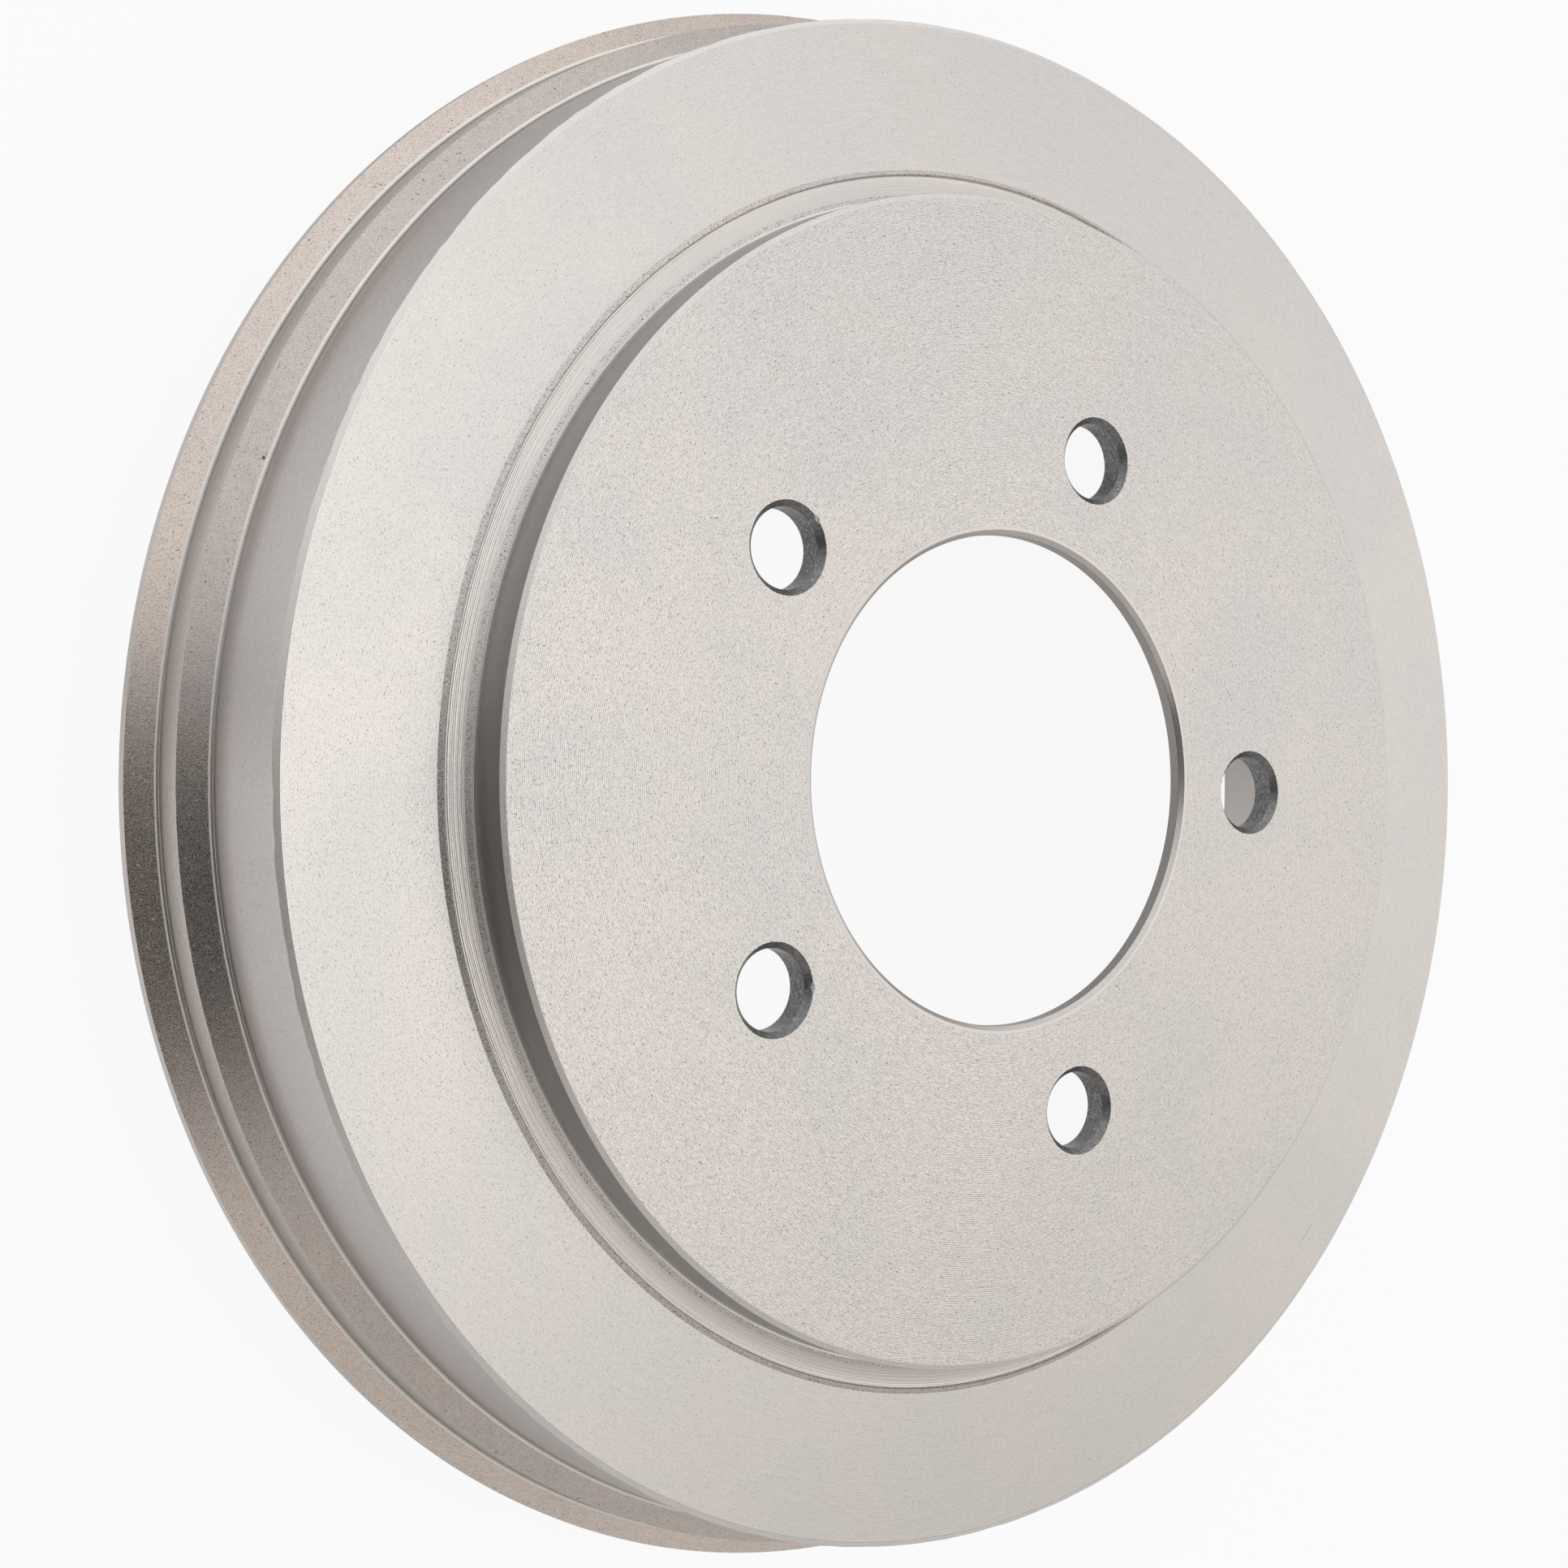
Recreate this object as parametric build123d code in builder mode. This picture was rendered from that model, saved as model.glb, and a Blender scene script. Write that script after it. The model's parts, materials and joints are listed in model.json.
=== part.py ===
from build123d import *
import os

# A five-lug rear brake drum, cast in one piece and turned all over.
# It lies on its open rim with the wheel face up: Z is the axle's axis, the origin is the
# centre of the open rim, and one lug hole lies on +X. All sizes are in millimetres.

# Friction ring: the bore that the shoes press on, and how thick the iron is around it
friction_diameter = 228.6
ring_wall = 10.35
relief_depth = 0.8
relief_width = 3.0
mouth_chamfer = 1.0

# Outside of the ring, front to back: a plain body, two flares with a land between, a rim
body_length = 18.55
land_height = 4.0
land_length = 5.8
rim_height = 7.8
rim_length = 1.55
rim_back_chamfer = 1.0
flare_length = 3.4
foot_step = 0.6
foot_fillet = 0.4

# Spigot behind the rim, which runs inside the edge of the backing plate
spigot_length = 17.5
spigot_wall = 7.2
spigot_root_fillet = 2.0
spigot_edge_chamfer = 0.8

# Shoulder: the sloping ring-shaped face around the hub boss
shoulder_depth = 8.75
shoulder_fall = 0.7
shoulder_edge_width = 0.9
shoulder_edge_drop = 0.65
web_thickness = 7.0
web_corner_fillet = 2.5

# Hub boss: the raised wheel face
boss_diameter = 190.0
boss_edge_width = 0.83
boss_edge_drop = 0.52
boss_wall = 10.0
boss_wall_draft = 0.8
boss_fillet = 3.0

# Turned cove at the foot of the boss, between two thin strips left as cast
ledge_width = 0.35
ledge_fillet = 0.2
upper_strip_width = 0.75
upper_strip_rise = 0.6
cove_width = 3.0
cove_rise = 0.55
cove_floor_lift = 0.1
ridge_height = 0.7
ridge_inner_width = 0.35
ridge_outer_width = 0.7

# Hub plate, with a turned seat for the axle flange on its inner side
hub_plate_thickness = 5.2
flange_seat_depth = 2.0
flange_seat_margin = 7.0
pilot_bore_diameter = 80.0
pilot_front_chamfer = 0.75
pilot_land_length = 1.95

# Lug holes
lug_count = 5
lug_circle_diameter = 114.3
lug_hole_diameter = 12.7
lug_front_chamfer = 1.0
lug_back_chamfer = 0.6
chamfer_cone_angle = 90

# Radii, worked out from the bore of the friction ring outwards
friction_radius = friction_diameter / 2
relief_radius = friction_radius + relief_depth
spigot_radius = friction_radius + spigot_wall
body_radius = friction_radius + ring_wall
land_radius = body_radius + land_height
rim_radius = body_radius + rim_height

# Radii of the hub, from the boss wall outwards to the shoulder and inwards to the bore
boss_radius = boss_diameter / 2
ledge_radius = boss_radius + ledge_width
cove_inner_radius = ledge_radius + upper_strip_width
cove_outer_radius = cove_inner_radius + cove_width
ridge_radius = cove_outer_radius + ridge_inner_width
shoulder_radius = ridge_radius + ridge_outer_width
recess_radius = boss_radius - boss_wall
seat_radius = recess_radius - boss_wall_draft - flange_seat_margin
pilot_radius = pilot_bore_diameter / 2
pilot_lead_in = hub_plate_thickness - pilot_front_chamfer - pilot_land_length

# Heights, worked out from the open rim up to the wheel face
rim_back_z = spigot_length
rim_front_z = rim_back_z + rim_back_chamfer + rim_length
rim_foot_z = rim_front_z + flare_length
land_front_z = rim_foot_z + land_length
land_foot_z = land_front_z + flare_length
body_front_z = land_foot_z + body_length
shoulder_edge_z = body_front_z + shoulder_edge_drop
shoulder_z = shoulder_edge_z + shoulder_fall
face_z = shoulder_z + shoulder_depth
web_z = shoulder_z - web_thickness
friction_top_z = web_z - web_corner_fillet - relief_width
ridge_z = shoulder_z + ridge_height
cove_floor_z = shoulder_z + cove_floor_lift
cove_top_z = cove_floor_z + cove_rise
ledge_z = cove_top_z + upper_strip_rise
seat_z = face_z - hub_plate_thickness
recess_z = seat_z - flange_seat_depth

# Outline of the section: radius, height and corner radius of each corner in turn
outside = [
    (ridge_radius, ridge_z, 0),
    (shoulder_radius, shoulder_z, 0),
    (body_radius - shoulder_edge_width, shoulder_edge_z, 0),
    (body_radius, body_front_z, 0),
    (body_radius, land_foot_z, foot_fillet),
    (body_radius + foot_step, land_foot_z, 0),
    (land_radius, land_front_z, 0),
    (land_radius, rim_foot_z, foot_fillet),
    (land_radius + foot_step, rim_foot_z, 0),
    (rim_radius, rim_front_z, 0),
    (rim_radius, rim_back_z + rim_back_chamfer, 0),
    (rim_radius - rim_back_chamfer, rim_back_z, 0),
    (spigot_radius, rim_back_z, spigot_root_fillet),
    (spigot_radius, spigot_edge_chamfer, 0),
    (spigot_radius - spigot_edge_chamfer, 0, 0),
]
inside = [
    (friction_radius + mouth_chamfer, 0, 0),
    (friction_radius, mouth_chamfer, 0),
    (friction_radius, friction_top_z, 0),
    (relief_radius, friction_top_z + relief_depth, 0),
    (relief_radius, web_z, web_corner_fillet),
    (recess_radius, web_z, boss_fillet),
    (recess_radius - boss_wall_draft, recess_z, boss_fillet),
    (seat_radius, recess_z, 0),
    (seat_radius, seat_z, foot_fillet),
]
hub = [
    (pilot_radius + pilot_lead_in, seat_z, 0),
    (pilot_radius, seat_z + pilot_lead_in, 0),
    (pilot_radius, face_z - pilot_front_chamfer, 0),
    (pilot_radius + pilot_front_chamfer, face_z, 0),
    (boss_radius - boss_edge_width, face_z, 0),
    (boss_radius, face_z - boss_edge_drop, 0),
    (boss_radius, ledge_z, ledge_fillet),
    (ledge_radius, ledge_z, 0),
]
cove_start = (cove_outer_radius, cove_floor_z)
cove_end = (cove_inner_radius, cove_top_z)
corners = outside + inside + hub

# Lug holes: the wheel face and the flange seat, each looked at from its own side
lug_radius = lug_hole_diameter / 2
wheel_face = Plane.XY.offset(face_z)
flange_seat = Plane(origin=(0, 0, seat_z), x_dir=(1, 0, 0), z_dir=(0, 0, -1))

with BuildPart() as drum:
    # The casting is one turned section, spun about the axle's axis
    with BuildSketch(Plane.XZ):
        with BuildLine():
            FilletPolyline(
                cove_start,
                *[(radius, height) for radius, height, _ in corners],
                cove_end,
                radius=[corner for _, _, corner in corners],
            )
            TangentArc(cove_start, cove_end, tangent=(-1, 0))
        make_face()
    revolve(axis=Axis.Z)

    # Lug holes, countersunk at the wheel face
    with Locations(wheel_face):
        with PolarLocations(lug_circle_diameter / 2, lug_count):
            CounterSinkHole(
                lug_radius,
                lug_radius + lug_front_chamfer,
                counter_sink_angle=chamfer_cone_angle,
            )

    # Their back edges, broken at the flange seat
    with Locations(flange_seat):
        with PolarLocations(lug_circle_diameter / 2, lug_count):
            CounterSinkHole(
                lug_radius,
                lug_radius + lug_back_chamfer,
                counter_sink_angle=chamfer_cone_angle,
            )

drum.part.label = "brake_drum"

os.makedirs("parts", exist_ok=True)
export_step(drum.part, "parts/brake_drum.step")
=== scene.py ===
import json
from math import cos, pi, radians, sin, sqrt

import bpy
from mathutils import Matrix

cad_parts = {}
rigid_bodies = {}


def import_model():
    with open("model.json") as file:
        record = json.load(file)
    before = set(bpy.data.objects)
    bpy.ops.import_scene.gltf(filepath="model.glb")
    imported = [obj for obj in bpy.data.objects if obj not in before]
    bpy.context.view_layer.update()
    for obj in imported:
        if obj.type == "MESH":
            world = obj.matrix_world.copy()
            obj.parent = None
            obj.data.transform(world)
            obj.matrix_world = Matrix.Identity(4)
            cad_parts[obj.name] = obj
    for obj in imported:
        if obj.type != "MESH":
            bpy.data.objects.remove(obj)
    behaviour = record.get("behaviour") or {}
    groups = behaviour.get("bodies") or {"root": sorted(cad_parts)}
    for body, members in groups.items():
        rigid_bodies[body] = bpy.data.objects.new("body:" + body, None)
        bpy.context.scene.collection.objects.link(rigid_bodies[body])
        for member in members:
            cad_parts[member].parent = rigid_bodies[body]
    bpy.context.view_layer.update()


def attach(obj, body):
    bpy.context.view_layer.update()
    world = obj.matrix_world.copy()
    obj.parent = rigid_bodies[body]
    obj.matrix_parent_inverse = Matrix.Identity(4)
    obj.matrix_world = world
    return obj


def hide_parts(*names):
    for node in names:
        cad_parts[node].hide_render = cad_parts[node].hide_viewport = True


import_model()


# Brake drum, the casting.
# One piece of grey iron, cast and then turned all over on a lathe. It is modelled the same
# way: half of its section is drawn from corner to corner and spun about the axle's axis.

# Sizes are in millimetres, and Blender's unit is the metre
mm = 0.001

# Radii of the section, from the pilot bore outwards
pilot_radius = 40.0
seat_radius = 77.2
recess_radius = 85.0
boss_radius = 95.0
ledge_radius = 95.35
cove_inner_radius = 96.1
cove_outer_radius = 99.1
ridge_radius = 99.45
shoulder_radius = 100.15
friction_radius = 114.3
relief_radius = 115.1
spigot_radius = 121.5
body_radius = 124.65
land_radius = 128.65
rim_radius = 132.45

# Heights of the section, from the open rim that the drum lies on up to the wheel face
rim_back_z = 17.5
rim_front_z = 20.05
rim_foot_z = 23.45
land_front_z = 29.25
land_foot_z = 32.65
friction_top_z = 40.05
web_z = 45.55
body_front_z = 51.2
shoulder_edge_z = 51.85
shoulder_z = 52.55
cove_floor_z = 52.65
cove_top_z = 53.2
ridge_z = 53.25
ledge_z = 53.8
recess_z = 54.1
seat_z = 56.1
face_z = 61.3

# Chamfers, drafts and the small step at the foot of each flare
pilot_chamfer = 0.75
pilot_lead_in = 2.5
boss_edge_width = 0.83
boss_edge_drop = 0.52
shoulder_edge_width = 0.9
foot_step = 0.6
rim_chamfer = 1.0
spigot_chamfer = 0.8
mouth_chamfer = 1.0
relief_depth = 0.8
recess_draft = 0.8

# Roundings: turned edges under their coating, the tool's nose, and the wide corners inside
sharp = 0.09
flare_rounding = 0.12
tool_nose = 0.35
spigot_rounding = 2.0
web_rounding = 2.5
recess_rounding = 3.0

# Small faults of the turning: the face dips beside the pilot bore, the flares' steps lean, and
# the edge of the shoulder is ragged, down to a ring of corners a little below it
lip_width = 0.6
lip_drop = 0.02
foot_lean = 0.12
edge_wander = 0.06
edge_margin = 1.2

# Where the wheel face, the shoulder and the wall of the pilot bore end
face_inner_radius = pilot_radius + pilot_chamfer + lip_width
face_outer_radius = boss_radius - boss_edge_width
shoulder_outer_radius = body_radius - shoulder_edge_width
pilot_wall_bottom_z = seat_z + pilot_lead_in
pilot_wall_top_z = face_z - pilot_chamfer

# Cove: an arc that leaves the shoulder level and climbs towards the boss, with tool marks in it
cove_width = cove_outer_radius - cove_inner_radius
cove_rise = cove_top_z - cove_floor_z
cove_arc_radius = (cove_width ** 2 + cove_rise ** 2) / (2 * cove_rise)
cove_points = 24
cove_mark_every = 4
cove_mark_depth = 0.02
cove = []
for point in range(1, cove_points):
    step = cove_width * point / cove_points
    climb = cove_arc_radius - sqrt(cove_arc_radius ** 2 - step ** 2)
    mark = cove_mark_depth if point % cove_mark_every == 0 else 0
    cove.append((cove_outer_radius - step, cove_floor_z + climb - mark, 0))

# The section as a list of corners: radius, height and rounding
section = [
    (pilot_radius, pilot_wall_bottom_z, sharp),
    (pilot_radius, pilot_wall_top_z, sharp),
    (pilot_radius + pilot_chamfer, face_z - lip_drop, sharp),
    (face_inner_radius, face_z, 0),
    (face_outer_radius, face_z, sharp),
    (boss_radius, face_z - boss_edge_drop, sharp),
    (boss_radius, ledge_z, sharp),
    (ledge_radius, ledge_z, sharp),
    (cove_inner_radius, cove_top_z, 0),
    *reversed(cove),
    (cove_outer_radius, cove_floor_z, 0),
    (ridge_radius, ridge_z, sharp),
    (shoulder_radius, shoulder_z, 0),
    (shoulder_outer_radius, shoulder_edge_z, sharp),
    (body_radius, body_front_z, 0),
    (body_radius, body_front_z - edge_margin, 0),
    (body_radius, land_foot_z, tool_nose),
    (body_radius + foot_step, land_foot_z - foot_lean, flare_rounding),
    (land_radius, land_front_z, sharp),
    (land_radius, rim_foot_z, tool_nose),
    (land_radius + foot_step, rim_foot_z - foot_lean, flare_rounding),
    (rim_radius, rim_front_z, sharp),
    (rim_radius, rim_back_z + rim_chamfer, sharp),
    (rim_radius - rim_chamfer, rim_back_z, sharp),
    (spigot_radius, rim_back_z, spigot_rounding),
    (spigot_radius, spigot_chamfer, sharp),
    (spigot_radius - spigot_chamfer, 0, sharp),
    (friction_radius + mouth_chamfer, 0, sharp),
    (friction_radius, mouth_chamfer, sharp),
    (friction_radius, friction_top_z, sharp),
    (relief_radius, friction_top_z + relief_depth, sharp),
    (relief_radius, web_z, web_rounding),
    (recess_radius, web_z, recess_rounding),
    (recess_radius - recess_draft, recess_z, recess_rounding),
    (seat_radius, recess_z, sharp),
    (seat_radius, seat_z, tool_nose),
    (pilot_radius + pilot_lead_in, seat_z, sharp),
]

# Draw the section: a plane shrunk to one vertex, extruded from corner to corner and closed
bpy.ops.object.select_all(action="DESELECT")
first_radius, first_height, _ = section[0]
bpy.ops.mesh.primitive_plane_add(size=1, location=(first_radius * mm, 0, first_height * mm))
drum = bpy.context.object
drum.name = drum.data.name = "drum_casting"
bpy.ops.object.mode_set(mode="EDIT")
bpy.ops.mesh.select_all(action="SELECT")
bpy.ops.mesh.merge(type="CENTER")
for (radius, height, _), (next_radius, next_height, _) in zip(section, section[1:]):
    step = ((next_radius - radius) * mm, 0, (next_height - height) * mm)
    bpy.ops.mesh.extrude_region_move(TRANSFORM_OT_translate={"value": step})
bpy.ops.object.mode_set(mode="OBJECT")
bpy.ops.object.transform_apply(location=True, rotation=False, scale=False)
for vertex in (drum.data.vertices[0], drum.data.vertices[-1]):
    vertex.select = True
bpy.ops.object.mode_set(mode="EDIT")
bpy.ops.mesh.edge_face_add()

# Round its corners, the widest first and in finer steps
at_corner = 1e-6
small_rounding = 1.0
small_segments = 3
wide_segments = 6
for rounding in sorted({corner[2] for corner in section} - {0}, reverse=True):
    bpy.ops.mesh.select_all(action="DESELECT")
    bpy.ops.object.mode_set(mode="OBJECT")
    corners = [(radius * mm, height * mm) for radius, height, size in section if size == rounding]
    for vertex in drum.data.vertices:
        gaps = [abs(vertex.co.x - radius) + abs(vertex.co.z - height) for radius, height in corners]
        vertex.select = min(gaps) < at_corner
    bpy.ops.object.mode_set(mode="EDIT")
    segments = small_segments if rounding <= small_rounding else wide_segments
    bpy.ops.mesh.bevel(offset=rounding * mm, segments=segments, affect="VERTICES")

# Spin it about the axle's axis and close the seam
spin_steps = 360
weld_distance = 1e-7
bpy.ops.mesh.select_all(action="SELECT")
bpy.ops.mesh.spin(steps=spin_steps, angle=2 * pi, center=(0, 0, 0), axis=(0, 0, 1))
bpy.ops.mesh.select_all(action="SELECT")
bpy.ops.mesh.remove_doubles(threshold=weld_distance)
bpy.ops.mesh.normals_make_consistent(inside=False)

# The edge between the shoulder and the body is ragged: by turns, shares of the points on its
# chamfer slide inwards up the chamfer, all but the ring of points at its top
on_slope = 0.001
top_ring = 0.2
edge_slope = (shoulder_edge_z - body_front_z) / shoulder_edge_width
edge_shrink = (body_radius - edge_wander) / body_radius
for seed, share_left_out in ((1, 0.55), (2, 0.65), (3, 0.75)):
    bpy.ops.mesh.select_all(action="DESELECT")
    bpy.ops.object.mode_set(mode="OBJECT")
    for vertex in drum.data.vertices:
        reach, height = vertex.co.xy.length / mm, vertex.co.z / mm
        off_slope = abs((body_radius - reach) * edge_slope - (height - body_front_z))
        vertex.select = off_slope < on_slope and reach > shoulder_outer_radius + top_ring
    bpy.ops.object.mode_set(mode="EDIT")
    bpy.ops.mesh.select_random(ratio=share_left_out, seed=seed, action="DESELECT")
    bpy.ops.transform.resize(value=(edge_shrink, edge_shrink, 1), center_override=(0, 0, 0))
    bpy.ops.transform.translate(value=(0, 0, edge_wander * edge_slope * mm))
bpy.ops.object.mode_set(mode="OBJECT")


class Wire:
    """An output of a finish's nodes; the signs of arithmetic add Math nodes to it."""

    def __init__(self, nodes, socket):
        self.nodes = nodes
        self.socket = socket

    def __getitem__(self, output):
        return Wire(self.nodes, self.socket.node.outputs[output])

    def math(self, operation, *values):
        return self.nodes.add("ShaderNodeMath", {"operation": operation}, dict(enumerate(values)))

    def __add__(self, other):
        return self.math("ADD", self, other)

    __radd__ = __add__

    def __sub__(self, other):
        return self.math("SUBTRACT", self, other)

    def __rsub__(self, other):
        return self.math("SUBTRACT", other, self)

    def __mul__(self, other):
        return self.math("MULTIPLY", self, other)

    __rmul__ = __mul__

    def __truediv__(self, other):
        return self.math("DIVIDE", self, other)

    def __rtruediv__(self, other):
        return self.math("DIVIDE", other, self)

    def __pow__(self, other):
        return self.math("POWER", self, other)

    def __rpow__(self, other):
        return self.math("POWER", other, self)

    def __abs__(self):
        return self.math("ABSOLUTE", self)

    def sine(self):
        return self.math("SINE", self)


class Nodes:
    """The nodes of one material, or of the world."""

    def __init__(self, owner):
        owner.use_nodes = True
        self.tree = owner.node_tree
        self.tree.nodes.clear()

    def add(self, kind, settings=None, inputs=None):
        node = self.tree.nodes.new(kind)
        for name, value in (settings or {}).items():
            setattr(node, name, value)
        for name, value in (inputs or {}).items():
            if isinstance(value, Wire):
                self.tree.links.new(value.socket, node.inputs[name])
            else:
                node.inputs[name].default_value = value
        return Wire(self, node.outputs[0]) if node.outputs else None

    def mix(self, factor, first, second, blend="MIX"):
        settings = {"data_type": "RGBA", "blend_type": blend, "clamp_factor": True}
        return self.add("ShaderNodeMix", settings, {0: factor, 6: first, 7: second})[2]

    def ramp(self, value, low, high, first=0.0, last=1.0):
        settings = {"interpolation_type": "SMOOTHSTEP"}
        inputs = {0: value, 1: low, 2: high, 3: first, 4: last}
        return self.add("ShaderNodeMapRange", settings, inputs)

    def noise(self, place, scale, detail=2.0, roughness=0.5):
        inputs = {"Vector": place, "Scale": scale, "Detail": detail, "Roughness": roughness}
        return self.add("ShaderNodeTexNoise", {"noise_dimensions": "3D"}, inputs)

    def clouded(self, cloud, tint, cooler):
        """The tint, in soft clouds with the same tint made a little cooler."""
        cool = [part * share for part, share in zip(tint, cooler)]
        soft_cloud = self.ramp(cloud, 0.35, 0.65)
        return self.mix(soft_cloud, (*tint, 1), (*cool, 1))

    def toned(self, colour, tone):
        """The colour, darker or lighter where the tone is under or over 1."""
        grey = self.add("ShaderNodeCombineColor", inputs={0: tone, 1: tone, 2: tone})
        return self.mix(1.0, colour, grey, "MULTIPLY")

    def metal(self, colour, roughness, height, brushed=0.0):
        """Finish the material as metal; the height of its marks is in millimetres."""
        bump = self.add("ShaderNodeBump", inputs={"Strength": 1.0, "Distance": mm, "Height": height})
        shader = self.add("ShaderNodeBsdfPrincipled", inputs={
            "Base Color": colour, "Metallic": 1.0, "Roughness": roughness, "Anisotropic": brushed,
            "Normal": bump,
        })
        self.add("ShaderNodeOutputMaterial", inputs={"Surface": shader})


# The thin warm grey coating, what makes it cooler in its clouds, and what shows dark in it
coating = (0.765, 0.707, 0.672)
coating_cooler = (0.975, 0.985, 1.0)
pore_colour = (0.34, 0.29, 0.26, 1)
pit_colour = (0.17, 0.135, 0.115, 1)
hairline_colour = (0.25, 0.22, 0.20, 1)
score_colour = (0.30, 0.29, 0.29, 1)

# How far the lathe's tool moves on with each turn, and how narrow its grooves are
feed = 0.341
groove_narrowness = 1.6

# Length around the axis and width across it, of the grooves' sway and of the marks
sway_size = (12, 6)
dash_size = (0.75, 0.30)
hairline_size = (5, 0.22)
grain_size = (0.23, 0.16)
pore_size = (0.32, 0.22)
pit_size = (0.48, 0.33)
clouds_per_metre = 38.0

# The levels of a noise between which a mark fades in
dash_fade = (0.35, 0.60)
hairline_fade = (0.56, 0.68)
pore_fade = (0.60, 0.72)
pit_fade = (0.69, 0.76)

# How much the marks show in the tone, and how deep they are
mean_valley = 0.3
hairline_tone = 0.12
pit_strength = 1.6
score_strength = 0.5
grain_depth = 0.008
pore_depth = 0.05
pit_depth = 0.08
score_depth = 0.03

# Painted shade at the corner at a flare's foot: the wall is darker there and lightens as it rises from
# it
painted_shade_reach = 6.5
painted_shade_tone = 0.66

# The scratch's half length and half width, each with its soft end
score_length_fade = (1.5 * mm, 2.7 * mm)
score_width_fade = (0.04 * mm, 0.13 * mm)

# The gloss varies a little around a finish's roughness
glossier, duller = 0.03, 0.04
brushing = 0.4


def turned(
    name, roughness, specks, tint=coating, grit=0.40, groove_painted_shade=0.02, groove_depth=0.0003,
    unbroken=0.35, hairlines=0.0, painted_shade_foot=None, scored=None,
):
    """Coated iron with the tool's fine feed marks around the axis, and small dark pores.

    groove_painted_shade says how strongly shade and light are painted into the feed marks, darker
    in their valleys, and groove_depth how deep they are; unbroken says how much of them is left
    where they fade. hairlines are dark lines along them. painted_shade_foot is the height of a
    flare's foot, above which painted shade darkens the wall and fades out, and scored gives a
    short scratch's middle and direction.
    """
    material = bpy.data.materials.new(name)
    nodes = Nodes(material)
    place = nodes.add("ShaderNodeTexCoord")["Object"]
    split = nodes.add("ShaderNodeSeparateXYZ", inputs={0: place})
    x, y, z = split["X"], split["Y"], split["Z"]
    across = (x * x + y * y) ** 0.5 - z

    # A noise drawn out around the axis, with marks of this length and width
    def marks(size, detail=2.0):
        length, width = size[0] * mm, size[1] * mm
        inputs = {0: x / length, 1: y / length, 2: across / width}
        return nodes.noise(nodes.add("ShaderNodeCombineXYZ", inputs=inputs), 1.0, detail)

    # Grooves that sway a little and fade in dashes
    phase = (across / (feed * mm) + marks(sway_size)) * (2 * pi)
    groove = phase.sine()
    dash = nodes.ramp(marks(dash_size), *dash_fade, unbroken, 1.0)
    valley = ((groove + 1.0) * 0.5) ** groove_narrowness * dash

    # Hairlines, the coating's grain, two sizes of pore, and wide soft clouds
    hairline = marks(hairline_size, detail=3.0)
    grain = marks(grain_size)
    pore = nodes.ramp(marks(pore_size, detail=1.0), *pore_fade)
    pit = nodes.ramp(marks(pit_size, detail=1.0), *pit_fade)
    cloud = nodes.noise(place, clouds_per_metre, detail=3.0)

    colour = nodes.clouded(cloud, tint, coating_cooler)
    # Painted shade and light: the feed grooves are darker in their valleys and lighter between them
    tone = 1.0 + (mean_valley - valley) * groove_painted_shade
    tone = tone + (grain - 0.5) * grit + (hairline - 0.5) * hairline_tone
    # Painted shade: the wall is darker at the corner at a flare's foot and lightens as it rises
    if painted_shade_foot:
        foot_shade = nodes.ramp(z, painted_shade_foot * mm, (painted_shade_foot + painted_shade_reach) * mm, painted_shade_tone, 1.0)
        tone = tone * foot_shade
    colour = nodes.toned(colour, tone)
    colour = nodes.mix(pore * specks, colour, pore_colour)
    colour = nodes.mix(pit * (specks * pit_strength), colour, pit_colour)
    if hairlines:
        dark_line = nodes.ramp(hairline, *hairline_fade)
        colour = nodes.mix(dark_line * hairlines, colour, hairline_colour)
    height = grain * grain_depth - valley * groove_depth - (pore * pore_depth + pit * pit_depth) * specks
    if scored:
        middle_x, middle_y, turn = scored
        off_x, off_y = x - middle_x * mm, y - middle_y * mm
        along = off_x * cos(turn) + off_y * sin(turn)
        aside = off_y * cos(turn) - off_x * sin(turn)
        score = nodes.ramp(abs(along), *score_length_fade, 1.0, 0.0)
        score = score * nodes.ramp(abs(aside), *score_width_fade, 1.0, 0.0)
        colour = nodes.mix(score * score_strength, colour, score_colour)
        height = height - score * score_depth
    unevenness = cloud * 0.5 + hairline * 0.5
    gloss = nodes.ramp(unevenness, 0.3, 0.7, roughness - glossier, roughness + duller)
    nodes.metal(colour, gloss, height, brushed=brushing)
    return material


# The skin as cast: what makes it cooler in its clouds, and the dark of its deepest holes
skin_cooler = (0.95, 0.97, 1.0)
hole_colour = (0.10, 0.075, 0.06, 1)

# Its grains of sand, lumps, open pits and deep holes: their sizes, fades and heights
sand_size = 0.19
lump_size = 1.4
open_pit_size = 0.25
hole_size = 0.50
skin_clouds_per_metre = 60.0
open_pit_fade = (0.50, 0.68)
hole_fade = (0.71, 0.77)
lump_tone = 0.16
hole_strength = 1.3
sand_height = 0.006
lump_height = 0.008
open_pit_depth = 0.007
hole_depth = 0.05
skin_glossier, skin_duller = 0.06, 0.08


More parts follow.
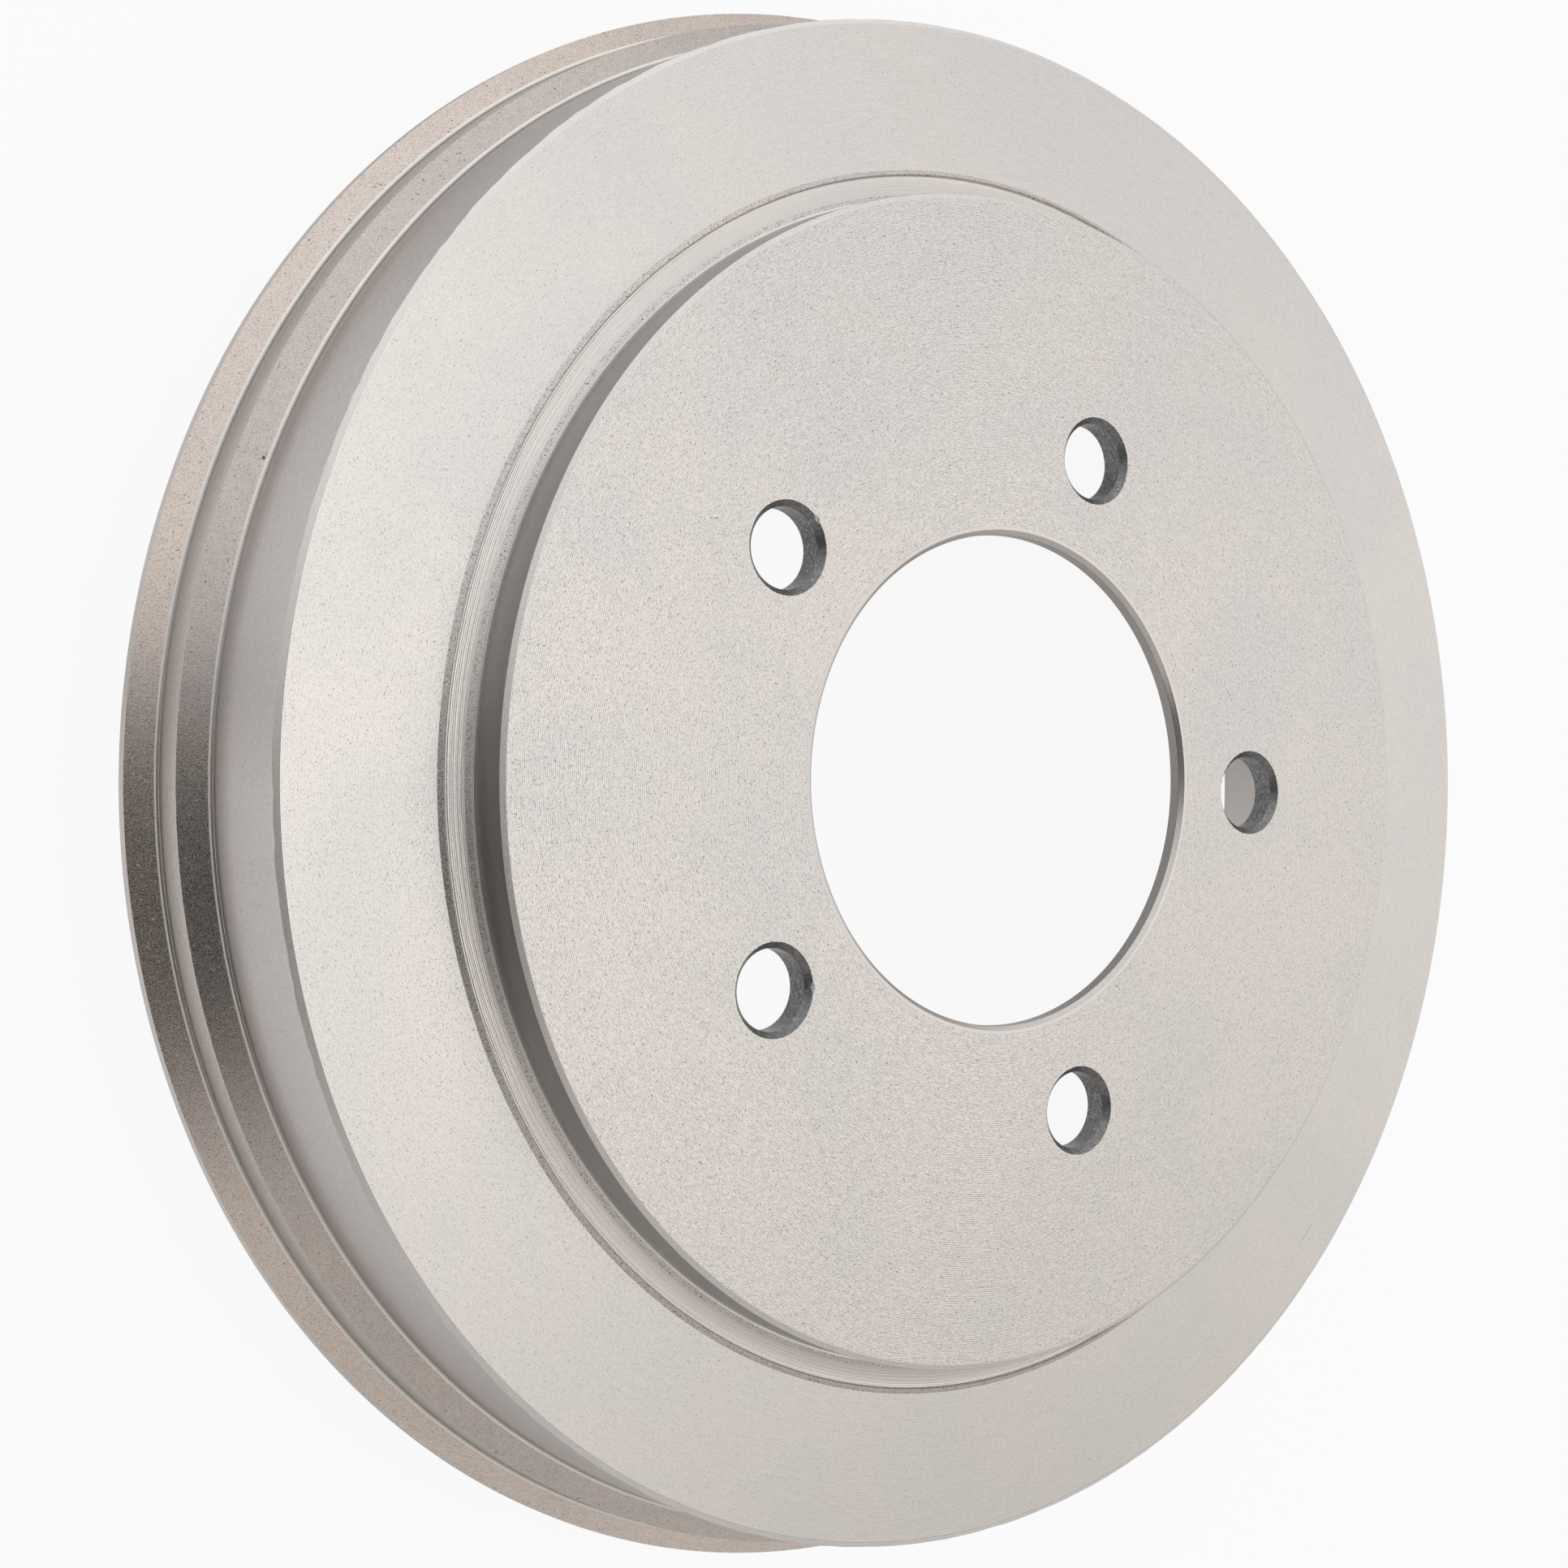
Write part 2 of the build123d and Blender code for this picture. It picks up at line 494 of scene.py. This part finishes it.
def gritty(name, roughness, tint, pit_tint, grit, pits):
    """Coated casting skin: sandy grains and open dark pits."""
    material = bpy.data.materials.new(name)
    nodes = Nodes(material)
    place = nodes.add("ShaderNodeTexCoord")["Object"]
    sand = nodes.noise(place, 1 / (sand_size * mm), detail=1.0, roughness=0.6)
    lump = nodes.noise(place, 1 / (lump_size * mm))
    cloud = nodes.noise(place, skin_clouds_per_metre, detail=3.0)
    pit = nodes.ramp(nodes.noise(place, 1 / (open_pit_size * mm), detail=1.0), *open_pit_fade)
    hole = nodes.ramp(nodes.noise(place, 1 / (hole_size * mm), detail=1.0), *hole_fade)
    colour = nodes.clouded(cloud, tint, skin_cooler)
    colour = nodes.toned(colour, 1.0 + (sand - 0.5) * grit + (lump - 0.5) * lump_tone)
    colour = nodes.mix(pit * pits, colour, (*pit_tint, 1))
    colour = nodes.mix(hole * (pits * hole_strength), colour, hole_colour)
    height = sand * sand_height + lump * lump_height - pit * open_pit_depth - hole * hole_depth
    gloss = nodes.ramp(sand, 0.3, 0.7, roughness - skin_glossier, roughness + skin_duller)
    nodes.metal(colour, gloss, height)
    return material


# The finishes, one for each kind of band; the first covers all that no other band takes
shoulder_scratch = (85.1, -80.93, radians(47.7))
finishes = [
    turned("turned_wall", roughness=0.29, specks=0.12),
    turned(
        "turned_body", roughness=0.29, specks=0.20, tint=(0.715, 0.68, 0.665), grit=0.6,
        painted_shade_foot=land_foot_z,
    ),
    turned(
        "turned_land", roughness=0.29, specks=0.30, tint=(0.72, 0.695, 0.67), grit=0.8,
        painted_shade_foot=rim_foot_z,
    ),
    # The boss wall's tint is darker than the coating's, and part of that darkness is painted shade
    turned("boss_wall", roughness=0.29, specks=0.10, tint=(0.45, 0.44, 0.445), grit=0.6),
    turned("bored_wall", roughness=0.30, specks=0.20, tint=(0.33, 0.31, 0.30), grit=0.8),
    turned("turned_edge", roughness=0.40, specks=0.12, tint=(0.98, 0.925, 0.88), grit=0.5),
    # The steps at the flares' feet have a lighter tint than the coating: a painted highlight along each
    # step, besides the real lean that turns it towards the light overhead
    turned("step_painted_highlight", roughness=0.36, specks=0.12, tint=(1.0, 0.91, 0.83), grit=0.5),
    turned("boss_edge", roughness=0.40, specks=0.25, tint=(0.91, 0.855, 0.815), grit=0.8),
    turned("ridge_flank", roughness=0.55, specks=0.50, tint=(1.0, 0.94, 0.89), grit=0.9),
    turned(
        "turned_face", roughness=0.34, specks=0.38, grit=0.65,
        groove_painted_shade=0.36, groove_depth=0.015, unbroken=0.28,
    ),
    turned(
        "turned_shoulder", roughness=0.34, specks=0.20, tint=(0.785, 0.73, 0.69), grit=0.4,
        groove_painted_shade=0.15, groove_depth=0.004, scored=shoulder_scratch,
    ),
    turned(
        "turned_cove", roughness=0.34, specks=0.08, tint=(0.82, 0.76, 0.71), grit=0.25,
        groove_painted_shade=0.32, groove_depth=0.012, unbroken=0.9, hairlines=0.05,
    ),
    turned(
        "friction_wall", roughness=0.30, specks=0.15, tint=(0.62, 0.575, 0.545),
        groove_painted_shade=0.08, groove_depth=0.002,
    ),
    gritty(
        "cast_strip", roughness=0.42, tint=(0.84, 0.775, 0.735), pit_tint=(0.26, 0.21, 0.185),
        grit=0.9, pits=0.62,
    ),
    gritty(
        "front_flare", roughness=0.31, tint=(0.76, 0.665, 0.61), pit_tint=(0.34, 0.285, 0.27),
        grit=0.9, pits=0.38,
    ),
    gritty(
        "rear_flare", roughness=0.31, tint=(0.93, 0.785, 0.70), pit_tint=(0.33, 0.26, 0.22),
        grit=0.9, pits=0.38,
    ),
]

# Their bands: two radii and two heights that the middles of the band's faces lie between.
# Where bands overlap, the later one takes the faces.
hair = 0.02
near = 0.1
beside = 0.3
past_step = foot_step + 0.05
friction_end_z = web_z - 2.0
bands = [
    ("turned_body", body_radius - near, body_radius + beside, land_foot_z, body_front_z),
    ("turned_land", land_radius - near, land_radius + beside, rim_foot_z, land_front_z),
    ("boss_wall", boss_radius - near, boss_radius + beside, ledge_z, face_z - boss_edge_drop),
    ("boss_edge", face_outer_radius, boss_radius, face_z - boss_edge_drop, face_z),
    ("bored_wall", pilot_radius - near, pilot_radius + hair, pilot_wall_bottom_z, pilot_wall_top_z),
    ("turned_face", face_inner_radius, face_outer_radius, face_z - near, face_z + near),
    ("turned_shoulder", shoulder_radius, shoulder_outer_radius, shoulder_edge_z, shoulder_z),
    ("turned_edge", shoulder_outer_radius, body_radius + beside, body_front_z - beside, shoulder_edge_z),
    ("step_painted_highlight", body_radius + beside, body_radius + past_step, land_foot_z - beside, land_foot_z),
    ("step_painted_highlight", land_radius + beside, land_radius + past_step, rim_foot_z - beside, rim_foot_z),
    ("friction_wall", friction_radius - near, relief_radius + near, mouth_chamfer, friction_end_z),
    ("turned_edge", boss_radius + hair, ledge_radius, ledge_z - hair, ledge_z + near),
    ("cast_strip", ledge_radius - hair, cove_inner_radius, cove_top_z, ledge_z + near),
    ("turned_cove", cove_inner_radius, cove_outer_radius, cove_floor_z - near, cove_top_z),
    ("cast_strip", cove_outer_radius, shoulder_radius, shoulder_z, ridge_z),
    ("ridge_flank", cove_outer_radius, ridge_radius - hair, cove_floor_z, ridge_z),
    ("front_flare", body_radius + past_step, land_radius, land_front_z, land_foot_z),
    ("rear_flare", land_radius + past_step, rim_radius, rim_front_z, rim_foot_z),
]


def pick_faces(thing, wanted):
    """Leave only the wanted faces selected, in edit mode."""
    bpy.ops.object.mode_set(mode="EDIT")
    bpy.ops.mesh.select_mode(type="FACE")
    bpy.ops.mesh.select_all(action="DESELECT")
    bpy.ops.object.mode_set(mode="OBJECT")
    for face in thing.data.polygons:
        face.select = wanted(face.center / mm, face.normal)
    bpy.ops.object.mode_set(mode="EDIT")


# Give each band its finish
for finish in finishes:
    drum.data.materials.append(finish)
for finish, inner, outer, low, high in bands:
    pick_faces(drum, lambda spot, _: inner < spot.xy.length < outer and low < spot.z < high)
    drum.active_material_index = drum.data.materials.find(finish)
    bpy.ops.object.material_slot_assign()
    bpy.ops.object.mode_set(mode="OBJECT")


# Lug holes.
# Five stud holes drilled through the hub plate after turning, countersunk in front and with
# the back edge broken. One cutter is modelled as the drill leaves the hole, and copied round.

lug_count = 5
lug_circle_radius = 57.15
lug_radius = 6.35
lug_front_chamfer = 1.0
lug_back_chamfer = 0.6
lug_sides = 96
cutter_overrun = 0.5
ragged_edge = 0.06

# How upright a face's normal stands on the cutter's ends, and at most on its round wall
end_upright = 0.9
wall_upright = 0.3

wall_top = face_z - lug_front_chamfer
wall_bottom = seat_z + lug_back_chamfer
bpy.ops.object.select_all(action="DESELECT")
bpy.ops.mesh.primitive_cylinder_add(
    vertices=lug_sides,
    radius=lug_radius * mm,
    depth=(wall_top - wall_bottom) * mm,
    location=(lug_circle_radius * mm, 0, (wall_top + wall_bottom) / 2 * mm),
)
cutter = bpy.context.object
bpy.ops.object.transform_apply(location=True, rotation=False, scale=False)

# Its two ends are pulled on and widened into cones, with an uneven rim
for up, chamfer in ((1, lug_front_chamfer), (-1, lug_back_chamfer)):
    reach = chamfer + cutter_overrun
    growth = (lug_radius + reach) / lug_radius
    pick_faces(cutter, lambda _, normal: normal.z * up > end_upright)
    bpy.ops.mesh.extrude_region_move(TRANSFORM_OT_translate={"value": (0, 0, up * reach * mm)})
    bpy.ops.transform.resize(value=(growth, growth, 1), center_override=(lug_circle_radius * mm, 0, 0))
    bpy.ops.transform.vertex_random(offset=ragged_edge * mm, seed=3)
    bpy.ops.object.mode_set(mode="OBJECT")
bpy.ops.object.mode_set(mode="EDIT")
bpy.ops.mesh.select_all(action="SELECT")
for _ in range(lug_count - 1):
    bpy.ops.mesh.duplicate()
    bpy.ops.transform.rotate(value=2 * pi / lug_count, orient_axis="Z", center_override=(0, 0, 0))
bpy.ops.object.mode_set(mode="OBJECT")

# Drilled or broken iron: the sizes and heights of its streaks and torn grains, the levels of
# the noise where the streaks fade in, and how strongly the grains show in the tone
streak_size = 0.60
torn_size = 0.22
streak_height = 0.010
torn_height = 0.012
streak_from, streak_full = 0.52, 0.90
torn_tone = 2.2


def drilled(name, roughness, squeeze, streak_share, dark, light):
    """Bare grey iron with bright streaks, which a squeeze along the axis draws out around it."""
    material = bpy.data.materials.new(name)
    nodes = Nodes(material)
    place = nodes.add("ShaderNodeTexCoord")["Object"]
    inputs = {"Vector": place, "Scale": (1, 1, squeeze)}
    squeezed = nodes.add("ShaderNodeMapping", {"vector_type": "POINT"}, inputs)
    streak = nodes.noise(squeezed, 1 / (streak_size * mm), roughness=0.6)
    torn = nodes.noise(place, 1 / (torn_size * mm), roughness=0.7)
    bright = nodes.ramp(streak, streak_from - streak_share, streak_full - streak_share)
    colour = nodes.mix(bright, (*dark, 1), (*light, 1))
    colour = nodes.toned(colour, 1.0 + (torn - 0.5) * torn_tone)
    nodes.metal(colour, roughness, streak * streak_height + torn * torn_height)
    return material


countersunk = drilled(
    "countersunk_edge", roughness=0.42, squeeze=1.0, streak_share=0.08,
    dark=(0.25, 0.245, 0.245), light=(0.42, 0.41, 0.40),
)
bored = drilled(
    "drilled_wall", roughness=0.30, squeeze=3.5, streak_share=0.13,
    dark=(0.13, 0.13, 0.135), light=(0.38, 0.375, 0.37),
)
cutter.data.materials.append(countersunk)
cutter.data.materials.append(bored)
pick_faces(cutter, lambda _, normal: abs(normal.z) < wall_upright)
cutter.active_material_index = 1
bpy.ops.object.material_slot_assign()
bpy.ops.object.mode_set(mode="OBJECT")


def cut_from_drum(tool):
    """Take the tool's shape out of the drum; the cut faces get the tool's finishes."""
    bpy.ops.object.select_all(action="DESELECT")
    drum.select_set(True)
    bpy.context.view_layer.objects.active = drum
    bpy.ops.object.modifier_add(type="BOOLEAN")
    cutting = drum.modifiers[-1]
    cutting.object = tool
    cutting.operation = "DIFFERENCE"
    cutting.solver = "EXACT"
    cutting.material_mode = "TRANSFER"
    bpy.ops.object.modifier_apply(modifier=cutting.name)
    drum.select_set(False)
    tool.select_set(True)
    bpy.context.view_layer.objects.active = tool
    bpy.ops.object.delete()


cut_from_drum(cutter)


# Small damage, and the finished drum.
# Two chips are knocked out of the rims of lug holes, and the tool has opened one pore of the
# casting at the edge of the front flare. Each is the hollow that a ball leaves.

chip_radius = 1.60
chip_lift = 1.25
pore_radius = 0.30
pore_sink = 0.35
balls = (
    ((-41.21, 38.09, face_z + chip_lift), chip_radius),
    ((-39.52, -33.34, face_z + chip_lift), chip_radius),
    ((-118.6, 41.6, land_foot_z - pore_sink), pore_radius),
)
bpy.ops.object.select_all(action="DESELECT")
for place, radius in balls:
    bpy.ops.mesh.primitive_ico_sphere_add(
        subdivisions=3, radius=radius * mm, location=[value * mm for value in place],
    )
    # The first ball is a new object, and the others are added to its mesh
    if bpy.context.mode == "OBJECT":
        chip_cutter = bpy.context.object
        bpy.ops.object.transform_apply(location=True, rotation=False, scale=False)
        bpy.ops.object.mode_set(mode="EDIT")
bpy.ops.object.mode_set(mode="OBJECT")

# Fresh iron in the chips, and darker iron in the pore
chipped = drilled(
    "chipped_edge", roughness=0.45, squeeze=1.0, streak_share=0.08,
    dark=(0.48, 0.47, 0.46), light=(0.60, 0.58, 0.57),
)
chip_cutter.data.materials.append(chipped)
chip_cutter.data.materials.append(countersunk)
pick_faces(chip_cutter, lambda spot, _: spot.z < web_z)
chip_cutter.active_material_index = 1
bpy.ops.object.material_slot_assign()
bpy.ops.object.mode_set(mode="OBJECT")
cut_from_drum(chip_cutter)

# Smooth around the axis, crisp across the edges
crisp_angle = radians(34)
drum.select_set(True)
bpy.context.view_layer.objects.active = drum
bpy.ops.object.shade_smooth_by_angle(angle=crisp_angle)
bpy.ops.object.modifier_add(type="WEIGHTED_NORMAL")
drum.modifiers[-1].keep_sharp = True
bpy.ops.object.modifier_apply(modifier=drum.modifiers[-1].name)

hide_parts("brake_drum")
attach(drum, "root")


# Studio, the floor.
# A plain pale floor under the open rim. The lens sees it nearly white with the drum's soft
# shadow on it. The drum's metal mirrors it less white, as it would a floor in shade.

floor_size = 8.0
floor_paint_colour = (0.86, 0.86, 0.86, 1)
pure_white = (1, 1, 1, 1)
seen_white = 0.92

# How white the drum's metal sees it, painted for its reflections alone: painted shade to both sides of
# the line of view and in a strip along it, and painted light within the friction ring. Places are in
# metres from the axle.
mirrored_white = 0.38
middle_y = -0.01
side_dark, side_from, side_to = 0.27, 0.05, 0.15
far_dark, far_from, far_to = 0.11, 0.095, 0.125
strip_y = 0.012
strip_dark, strip_half_width = 0.20, 0.024
inside_light, inside_from, inside_to = 0.30, 0.116, 0.112

bpy.ops.object.select_all(action="DESELECT")
bpy.ops.mesh.primitive_plane_add(size=floor_size, location=(0, 0, 0))
floor = bpy.context.object
floor.name = "floor"
floor_paint = bpy.data.materials.new("floor_paint")
nodes = Nodes(floor_paint)
path = nodes.add("ShaderNodeLightPath")
seen, mirrored, through = path["Is Camera Ray"], path["Is Glossy Ray"], path["Is Transmission Ray"]
split = nodes.add("ShaderNodeSeparateXYZ", inputs={0: nodes.add("ShaderNodeTexCoord")["Object"]})
floor_x, floor_y = split["X"], split["Y"]
from_axle = (floor_x * floor_x + floor_y * floor_y) ** 0.5
inside = nodes.ramp(from_axle, inside_to, inside_from, 1.0, 0.0)
aside = abs(floor_y - middle_y)
side = nodes.ramp(aside, side_from, side_to)
far = nodes.ramp(aside, far_from, far_to)
strip = nodes.ramp(abs(floor_y - strip_y), 0.0, strip_half_width, 1.0, 0.0)
in_metal = mirrored_white - side * side_dark - far * far_dark - strip * strip_dark
in_metal = in_metal + inside * inside_light
paint = nodes.add("ShaderNodeBsdfDiffuse", inputs={"Color": floor_paint_colour})
white = nodes.add("ShaderNodeEmission", inputs={"Color": pure_white, "Strength": 1.0})
share = (seen + through) * seen_white + mirrored * in_metal
surface = nodes.add("ShaderNodeMixShader", inputs={0: share, 1: paint, 2: white})
nodes.add("ShaderNodeOutputMaterial", inputs={"Surface": surface})
floor.data.materials.append(floor_paint)


# Studio, the tent.
# A white tent all round gives the soft light. It is darker on the side where the lens looks
# in, a little lighter to the north and the east, and lighter again overhead.

tent_light = 0.68
north_light = 0.195
east_light, east_from, east_to = 0.26, 0.92, 1.0
top_light, top_from, top_to = 0.60, 0.74, 1.0
top_x_from, top_x_to = -0.2, 0.1
warm_white = (1.0, 0.985, 0.955, 1)
cool_white = (0.965, 0.99, 1.0, 1)
backdrop_white = 0.96

# The dark side: where it lies, its soft sides, and how it narrows as it climbs
lens_azimuth = radians(195)
lens_dark = 0.94
lens_half_width, lens_soft_half_width = 0.34, 0.57
lens_soft_front = 0.20
lens_narrowing = 0.5

world = bpy.data.worlds.new("tent")
bpy.context.scene.world = world
nodes = Nodes(world)
ray = nodes.add("ShaderNodeTexCoord")["Generated"]
split = nodes.add("ShaderNodeSeparateXYZ", inputs={0: ray})
x, y, z = split["X"], split["Y"], split["Z"]
never_zero = 0.0001
level = (x * x + y * y + never_zero) ** 0.5
east = x / level
north = y / level
facing = x * cos(lens_azimuth) + y * sin(lens_azimuth)
aslant = y * cos(lens_azimuth) - x * sin(lens_azimuth)
beside_lens = abs(aslant) / (1.0 - z * lens_narrowing)
lens_side = nodes.ramp(beside_lens, lens_half_width, lens_soft_half_width, 1.0, 0.0)
lens_side = lens_side * nodes.ramp(facing, 0.0, lens_soft_front)
overhead = nodes.ramp(z, top_from, top_to) * nodes.ramp(x, top_x_from, top_x_to) * top_light
strength = tent_light + north * north_light + nodes.ramp(east, east_from, east_to) * east_light
strength = (strength + overhead) * (1.0 - lens_side * lens_dark)
colour = nodes.mix(nodes.ramp(north, -1.0, 1.0), warm_white, cool_white)
glow = nodes.add("ShaderNodeBackground", inputs={"Color": colour, "Strength": strength})
blank = nodes.add("ShaderNodeBackground", inputs={"Color": pure_white, "Strength": backdrop_white})
seen = nodes.add("ShaderNodeLightPath")["Is Camera Ray"]
surface = nodes.add("ShaderNodeMixShader", inputs={0: seen, 1: glow, 2: blank})
nodes.add("ShaderNodeOutputWorld", inputs={"Surface": surface})

bpy.context.scene.view_settings.view_transform = "Standard"


# Camera.
# It looks down on the wheel face, and is rolled so that the axle's axis lies level across the
# picture, with the perspective and the framing of the photograph.

image_size = 1932
focal_length_px = 3200.216
optical_axis_px = (1130.658, 923.475)
sensor = 36.0
nearest = 0.01
camera_place = (-0.281901, -0.011314, 0.377208)
camera_turns = (0.76654, -39.75227, 2.16003)
bpy.ops.object.camera_add(location=camera_place, rotation=[radians(turn) for turn in camera_turns])
camera = bpy.context.object
camera.data.sensor_width = sensor
camera.data.lens = sensor * focal_length_px / image_size
camera.data.shift_x = (image_size / 2 - optical_axis_px[0]) / image_size
camera.data.shift_y = (optical_axis_px[1] - image_size / 2) / image_size
camera.data.clip_start = nearest
bpy.context.scene.camera = camera
